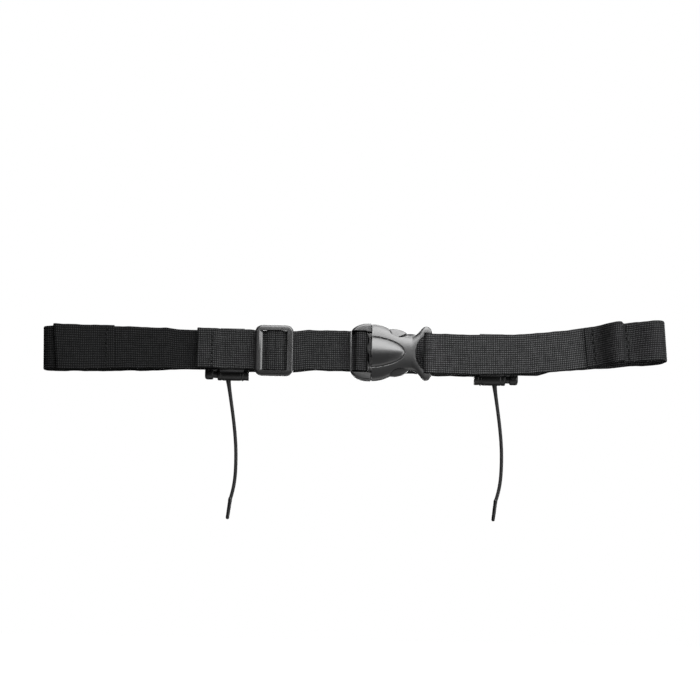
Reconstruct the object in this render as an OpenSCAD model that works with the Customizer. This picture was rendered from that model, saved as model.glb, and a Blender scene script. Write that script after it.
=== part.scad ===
// Elastic race number belt: webbing loop, side release buckle, tri-glide,
// two cord toggles that hold the number, and sewn loops for gel sachets.
// Frame: X along the belt, -Y the front, +Z up. The origin is the middle of
// the back run, on its rear face. Millimetres.

/* [Webbing] */
// Width of the elastic webbing
web_w = 25; // [24.6:0.1:25.2]
// Thickness of one layer of webbing
web_t = 1.2; // [1.0:0.05:1.25]
// Distance from the origin to the outside of the left fold
left_end = 194.7; // [190:0.5:205]
// Place of the sewn seam at the right, where the gel strip starts
seam_right_x = 144.7; // [143:0.1:145]
// Place of the cut edge of the left gel strip
seam_left_x = 150; // [140:0.5:155]
// Place of the free end of the adjuster tail
tail_end_x = 98.6; // [97:0.2:110]

/* [Buckle] */
// Outside width of the buckle at the seam between its halves
buckle_w = 36; // [35.6:0.1:38]
// Thickness of the socket
socket_t = 9; // [8.6:0.1:9.6]
// Width of the socket's strap end, across its ears
ear_w = 34; // [33:0.5:36]

/* [Adjuster] */
// Length of the tri-glide along the webbing
glide_l = 24.2; // [24:0.2:27]
// Height of the tri-glide across the webbing
glide_h = 32; // [31.5:0.5:34]

/* [Toggles] */
// Radius of the toggle's barrel
barrel_r = 4.4; // [4.2:0.05:4.6]
// Length of the toggle's barrel
barrel_l = 19.7; // [19:0.1:22]
// Radius of the cord
cord_r = 1.0; // [0.9:0.05:1.1]
// Travel of the toggle's button
press_travel = 2.5; // [1.5:0.1:2.8]
// Place of the left toggle's cord
toggle_left_x = -78.9; // [-82:0.1:-78]
// Place of the right toggle's cord
toggle_right_x = 88.3; // [80:0.1:100]

/* [Hidden] */
$fn = 64;

// Layers of the belt, as the middle of each layer's thickness
back_y = -web_t / 2;
base_y = -13;
ply = 1.4;                       // one layer and the gap to the next
front_y = base_y - 2.6;          // front layer, clear of the toggle clips
mid_y = -15.4;                   // middle plane of the buckle
half_w = web_w / 2;

// Left and right folds of the loop
fold_r = (back_y - base_y) / 2;
left_fold_x = -(left_end - fold_r - web_t / 2);
back_split = [-149.8, 135.8];
split_gap = 0.2;

// The right end of the belt leans forward from this point
lean = 10;
lean_from = [152, base_y];
lean_dir = [cos(lean), -sin(lean)];
lean_out = [sin(lean), cos(lean)];
lean_l = 32;
right_fold = lean_from + lean_l * lean_dir + fold_r * lean_out;

// Buckle
seam_x = 10.9;
plug_x = -2.8;
socket_end = 48.4;
plug_bar = [5.2, mid_y];
plug_bar_r = 1.5;
socket_bar = [46.2, mid_y];
socket_bar_r = 1.7;
window = [21, 36];               // side windows that show the prongs
prong_x = 9.75;
prong_z = 10.6;
knuckle_r = 1.6;
prong_t = 5;
cavity_t = 5.6;
run_gap = 0.1;

// Tri-glide
glide_x = -62.2;
glide_front = -18.8;

// Toggle, measured from its cord
mouth_x = -6.7;
button_x = [-14.6, -10.2];
bore_r = 3.0;
bore_end = mouth_x + barrel_l - 2.2;
plunger_r = bore_r - run_gap;
plunger_end = 4.5;
axis_y = -6.25;
axis_z = -13.2;
cord_hole_r = cord_r + 0.25;
knot_z = 1.5;
exit_z = axis_z - barrel_r - 0.1;
swing_z = exit_z - cord_r - 0.1; // the hanging cord turns about its round top end
clip_x = [-5, 10];

// Cord, seen from the front: control points of its two bends, below the toggle
cord_upper = [[0, 0], [1.4, -13], [4.2, -31], [4.1, -47]];
cord_lower = [[4.1, -47], [4.05, -59], [3.6, -65], [1.4, -74]];
tip_heading = -7;
tip_r = cord_r + 0.15;
tip_l = 11.5;

// ---------- helpers ----------

function bezier(p, n = 8) = [
    for (i = [0:n])
    let (t = i / n, s = 1 - t)
    s * s * s * p[0] + 3 * s * s * t * p[1] + 3 * s * t * t * p[2] + t * t * t * p[3]
];
function arc(c, r, from, to, n = 12) = [
    for (i = [0:n])
    let (a = from + (to - from) * i / n)
    c + r * [cos(a), sin(a)]
];
function heading(p, i) =
    let (d = p[min(i + 1, len(p) - 1)] - p[max(i - 1, 0)])
    d / norm(d);
function beside(p, d) = [
    for (i = [0:len(p) - 1])
    p[i] + d * [-heading(p, i)[1], heading(p, i)[0]]
];
function reversed(p) = [for (i = [len(p) - 1:-1:0]) p[i]];

// A strip of webbing that follows a path seen from above
module ribbon(path) {
    translate([0, 0, -half_w])
        linear_extrude(web_w)
            polygon(concat(beside(path, web_t / 2), reversed(beside(path, -web_t / 2))));
}

// A plate seen from the front, from y0 back to y1
module front_plate(y0, y1) {
    translate([0, y1, 0])
        rotate([90, 0, 0])
            linear_extrude(y1 - y0)
                children();
}

// A bar along Z through a point seen from above
module upright(p, r, h) {
    translate([p[0], p[1], -h / 2])
        cylinder(r = r, h = h);
}

// A row of thread stitches up the face of the webbing
module stitch_row(x, y, turn = 0) {
    stitch = [0.5, 0.3, 1.9];
    pitch = 2.9;
    count = 8;
    for (i = [0:count - 1])
        translate([x, y, (i - (count - 1) / 2) * pitch])
            rotate([0, 0, turn])
                cube(stitch, center = true);
}

// ---------- webbing ----------

module back_webbing() {
    color("#26272a")
        ribbon([[back_split[0], back_y], [back_split[1], back_y]]);
}

module left_webbing() {
    color("#2b2c2f")
        ribbon(concat(
            [[back_split[0] - split_gap, back_y]],
            arc([left_fold_x, (back_y + base_y) / 2], fold_r, 90, 270, 16),
            [[plug_x - 1.4, base_y]]));
}

module right_webbing() {
    wrap_r = socket_bar_r + 0.15 + web_t / 2;
    color("#2b2c2f")
        ribbon(concat(
            [[seam_right_x + 6.6, base_y - ply]],
            bezier([[142, base_y - ply], [138, base_y - ply], [137, front_y], [132, front_y]]),
            bezier([[56, front_y], [51, front_y], [51, mid_y - wrap_r],
                    [socket_bar[0], mid_y - wrap_r]]),
            arc(socket_bar, wrap_r, 262, 90, 12),
            [[52, base_y], lean_from],
            arc(right_fold, fold_r, -90 - lean, 90 - lean, 16),
            [[140, back_y], [back_split[1] + split_gap, back_y]]));
}

module adjuster_strap() {
    hem_r = ply / 2;
    hem_l = 10.6;
    wrap_r = plug_bar_r + 0.15 + web_t / 2;
    fold_x = -tail_end_x + hem_r + web_t / 2;
    crest_y = front_y - 1.6;
    bar_in = glide_x + 4.7;
    color("#303134")
        ribbon(concat(
            [[fold_x + hem_l, front_y]],
            arc([fold_x, front_y - hem_r], hem_r, 90, 270, 8),
            bezier([[fold_x + hem_l, front_y - ply], [fold_x + hem_l + 2, front_y - ply],
                    [fold_x + hem_l + 3, front_y], [fold_x + hem_l + 5, front_y]]),
            bezier([[bar_in, front_y], [bar_in + 3, front_y], [bar_in + 2, crest_y],
                    [bar_in + 6, crest_y]]),
            bezier([[bar_in + 10, crest_y], [bar_in + 14, crest_y], [bar_in + 13, front_y],
                    [bar_in + 16, front_y]]),
            bezier([[-12, front_y], [-8, front_y], [-6, front_y - 0.9],
                    [plug_x + 1.4, front_y - 0.9]]),
            arc(plug_bar, wrap_r, 270, 450, 12),
            [[plug_x - 1.2, base_y]]));
}

module gel_strip_left() {
    loop_r = 1.3;
    fold_x = -185.6;
    color("#232427")
        ribbon(concat(
            [[-seam_left_x, base_y - 2 * ply]],
            bezier([[-seam_left_x - 9, base_y - 2 * ply], [-166, base_y - 3.6],
                    [-176, base_y - 4.4], [fold_x, base_y - ply - 2 * loop_r]]),
            arc([fold_x, base_y - ply - loop_r], loop_r, 260, 90, 10),
            [[-seam_left_x - 1, base_y - ply]]));
}

module gel_strip_right() {
    color("#232427")
        ribbon(concat(
            [[seam_right_x, base_y - 2 * ply]],
            bezier([[151, base_y - 2 * ply], [156.5, -17], [157.6, -27], [163.4, -27.4]]),
            bezier([[164, -27.4], [168, -27.4], [165.8, -20.4], [169.2, -18]]),
            bezier([[171.4, -18.4], [178.2, -19.6], [182.6, -24.2], [187.5, -23.6]]),
            bezier([[188.1, -23.5], [193, -22.9], [194.3, -17], [194.1, -13.5]]),
            bezier([[194.1, -13], [193.9, -8], [191, -5.2], [185.9, -4.6]]),
            [[163, -1.9]]));
}

module stitching_left() {
    color("#141416")
        stitch_row(-seam_left_x - 5, base_y - 2 * ply - web_t / 2 - 0.18);
}

module stitching_right() {
    color("#141416") {
        stitch_row(seam_right_x + 5, base_y - 2 * ply - web_t / 2 - 0.18);
        stitch_row(170.3, -18.98, -lean);
        stitch_row(166, -1.45, -7);
    }
}

module stitching_tail() {
    color("#141416")
        stitch_row(-tail_end_x + 10, front_y - ply - web_t / 2 - 0.18);
}

// ---------- buckle ----------

// Outline of the socket's upper half, seen from the front
function socket_side() = concat(
    bezier([[seam_x, buckle_w / 2], [16, buckle_w / 2 - 0.2], [19, 16], [23, 14.6]]),
    bezier([[26, 13.4], [30, 11.9], [34, 11.9], [36, 11.9]]),
    bezier([[38, 12.4], [40, 14], [41, ear_w / 2], [44.6, ear_w / 2]]),
    bezier([[47.4, ear_w / 2], [socket_end, 16], [socket_end, 15], [socket_end, 13.5]]));
function mirrored(p) = [for (q = reversed(p)) [q[0], -q[1]]];

// Thickness of the socket, seen from above
function socket_depth() = concat(
    bezier([[seam_x, socket_t / 2], [22, socket_t / 2], [32, 4], [40, 3.5]]),
    [[socket_end, 2.8]]);

// Space for the prongs: wide at its mouth, narrow at the catch edge
module cavity_outline() {
    mouth = 14.8;
    catch_z = 12.4;
    polygon([[seam_x - 1, -mouth], [window[0], -catch_z], [window[1], -9.6],
             [window[1], 9.6], [window[0], catch_z], [seam_x - 1, mouth]]);
}

// Crescent opening for the strap, between the neck and the bar
module strap_slot() {
    neck_x = 37.9;
    strap_x = socket_bar[0] - 3.4;
    half_h = web_w / 2 + 0.4;
    bar_edge = socket_bar[0] - socket_bar_r;
    upper = [[neck_x, 5.5], [strap_x - 0.5, 10.6], [strap_x, half_h], [bar_edge, half_h]];
    polygon(concat(upper, mirrored(upper)));
}

module buckle_socket() {
    slot_h = web_w + 0.8;
    bar_x = socket_bar[0] - socket_bar_r - 1;
    bar_band = 2 * socket_bar_r;
    bar_groove = 3;
    window_z = [9, 17];
    color("#3a3b3e")
        difference() {
            intersection() {
                front_plate(mid_y - 6, mid_y + 6)
                    polygon(concat(socket_side(), mirrored(socket_side())));
                translate([0, mid_y, -30])
                    linear_extrude(60)
                        polygon(concat(socket_depth(), mirrored(socket_depth())));
            }
            front_plate(mid_y - cavity_t / 2, mid_y + cavity_t / 2)
                cavity_outline();
            for (side = [-1, 1])
                translate([window[0], mid_y - cavity_t / 2, side < 0 ? -window_z[1] : window_z[0]])
                    cube([window[1] - window[0], cavity_t, window_z[1] - window_z[0]]);
            front_plate(mid_y - 6, mid_y + 6)
                strap_slot();
            for (side = [-1, 1])
                translate([bar_x, mid_y + side * (socket_bar_r + bar_groove) - bar_groove, -slot_h / 2])
                    cube([bar_band + 4, 2 * bar_groove, slot_h]);
            difference() {
                translate([bar_x, mid_y - bar_groove, -slot_h / 2])
                    cube([bar_band + 4, 2 * bar_groove, slot_h]);
                upright(socket_bar, socket_bar_r, slot_h + 1);
            }
        }
}

module plug_outline() {
    corner_r = 9;
    seam_edge = seam_x - 0.15;
    intersection() {
        hull()
            for (side = [-1, 1], x = [plug_x + corner_r, seam_x])
                translate([x, side * (buckle_w / 2 - corner_r)])
                    circle(r = corner_r);
        translate([plug_x - 1, -buckle_w])
            square([seam_edge - plug_x + 1, 2 * buckle_w]);
    }
}

module buckle_plug() {
    frame_t = 6.6;
    open_h = web_w + 0.8;
    window_end = seam_x - 2.6;
    bar_front = glide_front - 0.2;
    end_bar = [1.3, 1.8];
    tongue = [18, 2.8, 4.4];
    color("#37383b")
        union() {
            difference() {
                front_plate(mid_y - frame_t / 2, mid_y + frame_t / 2)
                    plug_outline();
                translate([plug_x - 1, mid_y - 6, -open_h / 2])
                    cube([window_end - plug_x + 1, 12, open_h]);
                for (side = [-1, 1])
                    prong_socket(side);
            }
            upright(plug_bar, plug_bar_r, open_h + 1);
            translate([plug_x, bar_front, -open_h / 2 - 0.5])
                cube([end_bar[0], end_bar[1], open_h + 1]);
            translate([seam_x - 1, mid_y - tongue[1] / 2, -tongue[2] / 2])
                cube(tongue);
        }
}

// Space in the plug for a prong's root, with room for the prong to bend in
module prong_socket(side) {
    gap = 0.1;
    outer_z = prong_z + 1.32;
    inner_z = [prong_z - 1.45, prong_z - 2.1];
    front_plate(mid_y - prong_t / 2 - gap, mid_y + prong_t / 2 + gap)
        mirror([0, side < 0 ? 1 : 0]) {
            translate([prong_x, prong_z])
                circle(r = knuckle_r + 0.06);
            polygon([[prong_x, outer_z], [seam_x + 1, outer_z],
                     [seam_x + 1, inner_z[1]], [prong_x, inner_z[0]]]);
        }
}

// Arm with a catch and a thumb pad; it bends in towards the middle
module prong(side) {
    arm = 1.15;
    catch_x = window[0] + 0.4;
    pad = concat(
        [[prong_x - 0.3, prong_z - arm], [28, prong_z - arm - 0.4], [35, 7.6]],
        bezier([[35, 8.4], [33.6, 11.2], [29.6, 13.6], [25.5, 14.5]]),
        [[catch_x, 14.5], [catch_x, 11.9], [prong_x - 0.3, prong_z + arm]]);
    color("#333437")
        front_plate(mid_y - prong_t / 2, mid_y + prong_t / 2)
            mirror([0, side < 0 ? 1 : 0]) {
                translate([prong_x, prong_z])
                    circle(r = knuckle_r);
                polygon(pad);
            }
}

module prong_upper() {
    prong(1);
}

module prong_lower() {
    prong(-1);
}

// ---------- adjuster ----------

module tri_glide() {
    side_bar = [4.7, 3.5];
    rail_back = -14.6;
    centre_bar_at = [glide_x + 10.7, -16.2];
    centre_bar = [4, 2.4];
    open_h = web_w + 0.8;
    bar_back = front_y - web_t / 2 - 0.2;
    color("#3d3e41") {
        difference() {
            front_plate(glide_front, rail_back)
                translate([glide_x + glide_l / 2, 0])
                    hull()
                        for (sx = [-1, 1], sz = [-1, 1])
                            translate([sx * (glide_l / 2 - 4), sz * (glide_h / 2 - 4)])
                                circle(r = 4);
            translate([glide_x + side_bar[0], glide_front - 1, -open_h / 2])
                cube([glide_l - side_bar[0] - side_bar[1], 8, open_h]);
            translate([glide_x - 1, bar_back, -open_h / 2])
                cube([glide_l + 2, 4, open_h]);
        }
        translate([centre_bar_at[0], centre_bar_at[1], -open_h / 2 - 1])
            cube([centre_bar[0], centre_bar[1], open_h + 2]);
    }
}

// ---------- toggles ----------

// Puts a toggle on its cord; the right one is the left one mirrored
module toggle_place(side) {
    translate([side < 0 ? toggle_left_x : toggle_right_x, 0, 0])
        mirror([side < 0 ? 0 : 1, 0, 0])
            children();
}

// A turned solid along the toggle's axis, from x0 to x1
module turned(x0, x1, r0, r1) {
    translate([x0, axis_y, axis_z])
        rotate([0, 90, 0])
            cylinder(r1 = r0, r2 = r1, h = x1 - x0);
}

// The clip that wraps the rear layer of webbing
module belt_clip() {
    gap = 0.25;
    plate_t = 1.75;
    rear = base_y + web_t / 2 + gap;
    front = base_y - web_t / 2 - gap;
    lip_t = 1.0;
    hook_t = 0.8;
    lip_h = 5;
    outer_z = half_w + gap + hook_t;
    clip_w = clip_x[1] - clip_x[0];
    translate([clip_x[0], rear, -outer_z])
        cube([clip_w, plate_t, 2 * outer_z]);
    for (side = [-1, 1]) {
        translate([clip_x[0], front - lip_t, side * (outer_z - hook_t / 2) - hook_t / 2])
            cube([clip_w, rear - front + lip_t + 0.5, hook_t]);
        translate([clip_x[0], front - lip_t, side * (outer_z - lip_h / 2) - lip_h / 2])
            cube([clip_w, lip_t, lip_h]);
    }
}

module toggle_body(side) {
    closed_x = mouth_x + barrel_l;
    end_taper = [2.6, 1];
    color("#1f2022")
        toggle_place(side)
            difference() {
                union() {
                    turned(mouth_x, closed_x - end_taper[0], barrel_r, barrel_r);
                    turned(closed_x - end_taper[0], closed_x, barrel_r, barrel_r - end_taper[1]);
                    belt_clip();
                }
                turned(mouth_x - 1, bore_end, bore_r, bore_r);
                translate([0, axis_y, axis_z - 10])
                    cylinder(r = cord_hole_r, h = 20);
            }
}

module toggle_plunger(side) {
    slot_l = press_travel + 0.2;
    slot_w = cord_hole_r;
    lead = cord_r + 0.06;
    button_r = 3.9;
    button_edge = 0.8;
    color("#1a1b1d")
        toggle_place(side)
            difference() {
                union() {
                    turned(button_x[1], plunger_end, plunger_r, plunger_r);
                    turned(button_x[0], button_x[0] + button_edge, button_r - button_edge, button_r);
                    turned(button_x[0] + button_edge, button_x[1], button_r, button_r);
                }
                translate([lead - slot_w, axis_y, axis_z - 10])
                    cylinder(r = slot_w, h = 20);
                translate([lead - slot_w - slot_l, axis_y, axis_z - 10])
                    cylinder(r = slot_w, h = 20);
                translate([lead - slot_w - slot_l, axis_y - slot_w, axis_z - 10])
                    cube([slot_l, 2 * slot_w, 20]);
            }
}

// Coil spring between the plunger and the closed end of the barrel
module toggle_spring(side) {
    wire_r = 0.32;
    coil_r = 2.1;
    turns = 4;
    steps = 14;
    sides = 6;
    from_x = plunger_end + wire_r + 0.1;
    pitch_x = (bore_end - wire_r - 0.1 - from_x) / turns;
    count = turns * steps;
    points = [
        for (i = [0:count], j = [0:sides - 1])
        let (a = 360 * i / steps, b = 360 * j / sides, r = coil_r + wire_r * cos(b))
        [from_x + pitch_x * i / steps + wire_r * sin(b), axis_y + r * cos(a), axis_z + r * sin(a)]
    ];
    walls = [
        for (i = [0:count - 1], j = [0:sides - 1])
        let (k = (j + 1) % sides)
        [i * sides + j, i * sides + k, (i + 1) * sides + k, (i + 1) * sides + j]
    ];
    caps = [[for (j = [sides - 1:-1:0]) j], [for (j = [0:sides - 1]) count * sides + j]];
    color("silver")
        toggle_place(side)
            polyhedron(points = points, faces = concat(walls, caps));
}

// Straight length of the cord through the lock, with its stopper knot
module cord_run(side) {
    knot_r = 2.1;
    color("#0f0f10")
        toggle_place(side) {
            translate([0, axis_y, exit_z])
                cylinder(r = cord_r, h = knot_z - exit_z);
            translate([0, axis_y, knot_z])
                sphere(r = knot_r);
        }
}

// The cord hangs the same way on both sides, so it isn't mirrored
module hang(side) {
    translate([side < 0 ? toggle_left_x : toggle_right_x, axis_y, swing_z])
        children();
}

module cord(side) {
    sides = 10;
    path = concat(bezier(cord_upper, 9), [for (i = [1:9]) bezier(cord_lower, 9)[i]]);
    last = len(path) - 1;
    // each ring: its middle, the cord's heading there, its radius
    rings = concat(
        [for (a = [72:-24:24]) [[0, cord_r * sin(a)], [0, -1], cord_r * cos(a)]],
        [for (i = [0:last])
            [path[i],
             i == 0 ? [0, -1] : i == last ? [sin(tip_heading), -cos(tip_heading)] : heading(path, i),
             cord_r]]);
    count = len(rings) - 1;
    points = [
        for (ring = rings, j = [0:sides - 1])
        let (h = ring[1], r = ring[2], a = 360 * j / sides)
        [ring[0][0] - h[1] * r * cos(a), r * sin(a), ring[0][1] + h[0] * r * cos(a)]
    ];
    walls = [
        for (i = [0:count - 1], j = [0:sides - 1])
        let (k = (j + 1) % sides)
        [i * sides + j, (i + 1) * sides + j, (i + 1) * sides + k, i * sides + k]
    ];
    caps = [[for (j = [0:sides - 1]) j], [for (j = [sides - 1:-1:0]) count * sides + j]];
    color("#111112")
        hang(side)
            polyhedron(points = points, faces = concat(walls, caps));
}

module cord_tip(side) {
    end = cord_lower[3];
    color("#0a0a0b")
        hang(side)
            translate([end[0], 0, end[1]])
                rotate([0, -tip_heading, 0]) {
                    translate([0, 0, -tip_l])
                        cylinder(r = tip_r, h = tip_l - 0.05);
                    translate([0, 0, -tip_l])
                        sphere(r = tip_r);
                }
}

module toggle_body_left() toggle_body(-1);
module toggle_plunger_left() toggle_plunger(-1);
module toggle_spring_left() toggle_spring(-1);
module cord_run_left() cord_run(-1);
module cord_left() cord(-1);
module cord_tip_left() cord_tip(-1);
module toggle_body_right() toggle_body(1);
module toggle_plunger_right() toggle_plunger(1);
module toggle_spring_right() toggle_spring(1);
module cord_run_right() cord_run(1);
module cord_right() cord(1);
module cord_tip_right() cord_tip(1);

back_webbing();
left_webbing();
right_webbing();
adjuster_strap();
gel_strip_left();
gel_strip_right();
stitching_left();
stitching_right();
stitching_tail();
buckle_socket();
buckle_plug();
prong_upper();
prong_lower();
tri_glide();
toggle_body_left();
toggle_plunger_left();
toggle_spring_left();
cord_run_left();
cord_left();
cord_tip_left();
toggle_body_right();
toggle_plunger_right();
toggle_spring_right();
cord_run_right();
cord_right();
cord_tip_right();
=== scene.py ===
import math

import bmesh
import bpy
import numpy as np
from mathutils import Matrix, Vector


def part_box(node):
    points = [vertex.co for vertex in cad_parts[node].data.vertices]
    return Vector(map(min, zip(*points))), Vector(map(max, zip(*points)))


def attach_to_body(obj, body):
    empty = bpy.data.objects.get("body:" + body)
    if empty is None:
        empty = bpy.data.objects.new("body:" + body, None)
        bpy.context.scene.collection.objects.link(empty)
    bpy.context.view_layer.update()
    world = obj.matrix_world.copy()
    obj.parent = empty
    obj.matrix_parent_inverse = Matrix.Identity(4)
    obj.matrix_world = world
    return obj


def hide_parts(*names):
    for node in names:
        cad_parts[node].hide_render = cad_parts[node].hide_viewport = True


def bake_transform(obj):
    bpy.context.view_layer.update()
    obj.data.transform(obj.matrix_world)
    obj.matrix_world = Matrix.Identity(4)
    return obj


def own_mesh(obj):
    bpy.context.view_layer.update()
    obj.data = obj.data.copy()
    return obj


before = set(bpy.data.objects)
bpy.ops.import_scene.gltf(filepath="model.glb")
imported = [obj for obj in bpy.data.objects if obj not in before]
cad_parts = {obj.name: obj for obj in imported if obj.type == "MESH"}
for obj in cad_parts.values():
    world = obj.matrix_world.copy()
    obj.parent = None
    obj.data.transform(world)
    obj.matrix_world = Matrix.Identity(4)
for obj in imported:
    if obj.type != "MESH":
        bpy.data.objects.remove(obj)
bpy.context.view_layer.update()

MM = 0.001

# ---------- places, in millimetres; Y grows towards the back ----------


def box_mm(node):
    """A CAD node's lowest and highest corners, in millimetres."""
    low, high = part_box(node)
    return np.array(low) / MM, np.array(high) / MM


SPLIT_X = (box_mm("back_webbing")[0][0], box_mm("back_webbing")[1][0])  # ends of the back run
WEB_T = box_mm("back_webbing")[1][1] - box_mm("back_webbing")[0][1]
WEB_W = box_mm("back_webbing")[1][2] - box_mm("back_webbing")[0][2]
BACK_Y = -WEB_T / 2  # middle of the back run
BASE_Y = -13.0  # middle of the rear one of the two front layers
PLY = 1.4  # from one sewn layer's middle to the next one's
FRONT_Y = BASE_Y - 2.6  # middle of the front layer where it hangs free
MID_Y = float((box_mm("buckle_socket")[0][1] + box_mm("buckle_socket")[1][1]) / 2)
SOCKET_X = (box_mm("buckle_socket")[0][0], box_mm("buckle_socket")[1][0])
PLUG_X = box_mm("buckle_plug")[0][0]
GLIDE_X = (box_mm("tri_glide")[0][0], box_mm("tri_glide")[1][0])
LEFT_X = box_mm("left_webbing")[0][0]
TAIL_X = box_mm("adjuster_strap")[0][0]
FOLD_R = (BACK_Y - BASE_Y) / 2  # radius of the belt's end folds
SEAM_LEFT = box_mm("gel_strip_left")[1][0]
SEAM_RIGHT = box_mm("gel_strip_right")[0][0]
LEAN = math.radians(10)  # how far the right end turns forward
LEAN_FROM = np.array([152.0, BASE_Y])  # where it starts to
LEAN_DIR = np.array([math.cos(LEAN), -math.sin(LEAN)])
LEAN_OUT = np.array([math.sin(LEAN), math.cos(LEAN)])
PLUG_BAR = np.array([5.2, MID_Y])  # the bars that the webbing goes round
SOCKET_BAR = np.array([46.2, MID_Y])
PRONG_X = 9.75  # the prongs' hinges

# The belt isn't quite straight: how far it is lifted, at places along it
RISE_X = np.array([-195, -165, -140, -100, -85, -36, -28, -6, 8, 70, 90, 100, 110, 119, 128, 136, 145, 155,
                   166, 176, 186, 195])
RISE_Z = np.array([0, 0.2, 0.7, 0.7, 0.2, 0.2, 1.0, 1.0, 0.3, 0, 0.2, 0.7, 1.35, 2.15, 3.2, 4.4, 5.8, 7.35,
                   8.7, 9.5, 10.05, 10.3])

# The back run isn't quite parallel to the front: how far it is lifted above it
BACK_X = np.array([-130, -97, -75, -45, -25, 36, 50, 95, 122, 141, 153, 163, 190])
BACK_Z = np.array([0, 1.2, 0.5, 0.6, 1.2, 1.3, 0.2, 0.2, 1.8, 0.6, -0.6, -1.2, -1.2])

# Where the toggles' clips run along the rear layer of the webbing, which is kept straight there
HELD_X = np.array([-118, -110, -62, -50, 50, 57, 114, 121])
HELD = np.array([0, 1, 1, 0, 0, 1, 1, 0])


def held(x, y):
    """1 on the layer of webbing inside a toggle's clip, anywhere along its travel, and 0 elsewhere."""
    return np.where(np.abs(y - BASE_Y) < 0.5, np.interp(x, HELD_X, HELD), 0)


def rise(x, y=BASE_Y - 1):
    """How far the belt is lifted: a little left of the buckle, and much more at its right end."""
    behind = np.clip(1.5 - 2 * y / BASE_Y, 0, 1)  # 0 on the front run and 1 on the back run
    lifted = np.interp(x, RISE_X, RISE_Z) + behind * np.interp(x, BACK_X, BACK_Z)
    return lifted * (1 - 0.95 * held(x, y))


def tilt(x):
    """How far the webbing's cross threads lean back at x, most of all at the rising right end."""
    return np.interp(x, [-195, -150, -100, 100, 140, 160, 180, 195],
                     [0.035, 0.02, 0, 0, 0.1, 0.06, 0.05, 0.07])


# ---------- paths ----------


def bezier(a, b, c, d, n=12):
    """Points on a cubic curve from a to d."""
    t = np.linspace(0, 1, n + 1)[:, None]
    s = 1 - t
    a, b, c, d = (np.asarray(p, float) for p in (a, b, c, d))
    return s ** 3 * a + 3 * s * s * t * b + 3 * s * t * t * c + t ** 3 * d


def arc(centre, r, start, end, n=18):
    """Points on a circle, with the angles in degrees."""
    a = np.radians(np.linspace(start, end, n + 1))
    return np.asarray(centre) + r * np.stack([np.cos(a), np.sin(a)], 1)


def path(*parts):
    """One line of points from points and lists of points, without repeats."""
    points = np.vstack([np.atleast_2d(np.asarray(p, float)) for p in parts])
    keep = np.r_[True, np.linalg.norm(np.diff(points, axis=0), axis=1) > 1e-4]
    return points[keep]


def even(points, step):
    """The same path with points at an even step, and how far along it each one is."""
    lengths = np.linalg.norm(np.diff(points, axis=0), axis=1)
    at = np.r_[0, np.cumsum(lengths)]
    along = np.linspace(0, at[-1], max(2, int(round(at[-1] / step))) + 1)
    return np.stack([np.interp(along, at, points[:, k]) for k in range(points.shape[1])], 1), along


def normals_of(points):
    """Unit normals of a flat path, to the left of its direction."""
    d = np.gradient(points, axis=0)
    d /= np.linalg.norm(d, axis=1)[:, None]
    return np.stack([-d[:, 1], d[:, 0]], 1)


# ---------- materials ----------


def new_material(name):
    """A material, its nodes, its links and its shader."""
    m = bpy.data.materials.new(name)
    m.use_nodes = True
    nodes = m.node_tree.nodes
    return m, nodes, m.node_tree.links, nodes["Principled BSDF"]


def math_node(nodes, links, op, a, b=None, c=None):
    """A sum on sockets or plain numbers."""
    n = nodes.new("ShaderNodeMath")
    n.operation = op
    for i, v in enumerate((a, b, c)):
        if v is None:
            continue
        if isinstance(v, (int, float)):
            n.inputs[i].default_value = v
        else:
            links.new(v, n.inputs[i])
    return n.outputs[0]


def mix_colour(nodes, links, factor, a, b):
    """A colour between two colours or sockets."""
    n = nodes.new("ShaderNodeMix")
    n.data_type = "RGBA"
    links.new(factor, n.inputs["Factor"])
    for socket, v in ((n.inputs[6], a), (n.inputs[7], b)):
        if isinstance(v, tuple):
            socket.default_value = (*v, 1)
        else:
            links.new(v, socket)
    return n.outputs[2]


def noise(nodes, links, vector, scale, detail=3):
    """A soft random pattern."""
    n = nodes.new("ShaderNodeTexNoise")
    n.inputs["Scale"].default_value = scale
    n.inputs["Detail"].default_value = detail
    n.inputs["Roughness"].default_value = 0.55
    links.new(vector, n.inputs["Vector"])
    return n.outputs["Fac"]


def scaled(nodes, links, vector, scale):
    """A vector multiplied axis by axis, to stretch a pattern."""
    n = nodes.new("ShaderNodeVectorMath")
    n.operation = "MULTIPLY"
    links.new(vector, n.inputs[0])
    n.inputs[1].default_value = scale
    return n.outputs[0]


RIB = 1.34  # from one lengthwise cord of the webbing to the next
PICK = 1.15  # from one crossing thread to the next


def ripple_of(nodes, links, distance, pitch):
    """0 between the threads and 1 on top of them, for threads at this pitch."""
    turns = math_node(nodes, links, "DIVIDE", distance, pitch)
    wave = math_node(nodes, links, "SINE", math_node(nodes, links, "MULTIPLY", turns, math.pi))
    return math_node(nodes, links, "ABSOLUTE", wave)


def add_bump(nodes, links, shader, height, strength, distance):
    """Fine relief that the mesh itself doesn't have."""
    bump = nodes.new("ShaderNodeBump")
    bump.inputs["Strength"].default_value = strength
    bump.inputs["Distance"].default_value = distance
    links.new(height, bump.inputs["Height"])
    links.new(bump.outputs[0], shader.inputs["Normal"])


def web_uv(nodes, links):
    """The "web" UVs, whole and as their two parts."""
    uv = nodes.new("ShaderNodeUVMap")
    uv.uv_map = "web"
    split = nodes.new("ShaderNodeSeparateXYZ")
    links.new(uv.outputs[0], split.inputs[0])
    return uv.outputs[0], split.outputs[0], split.outputs[1]


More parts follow.
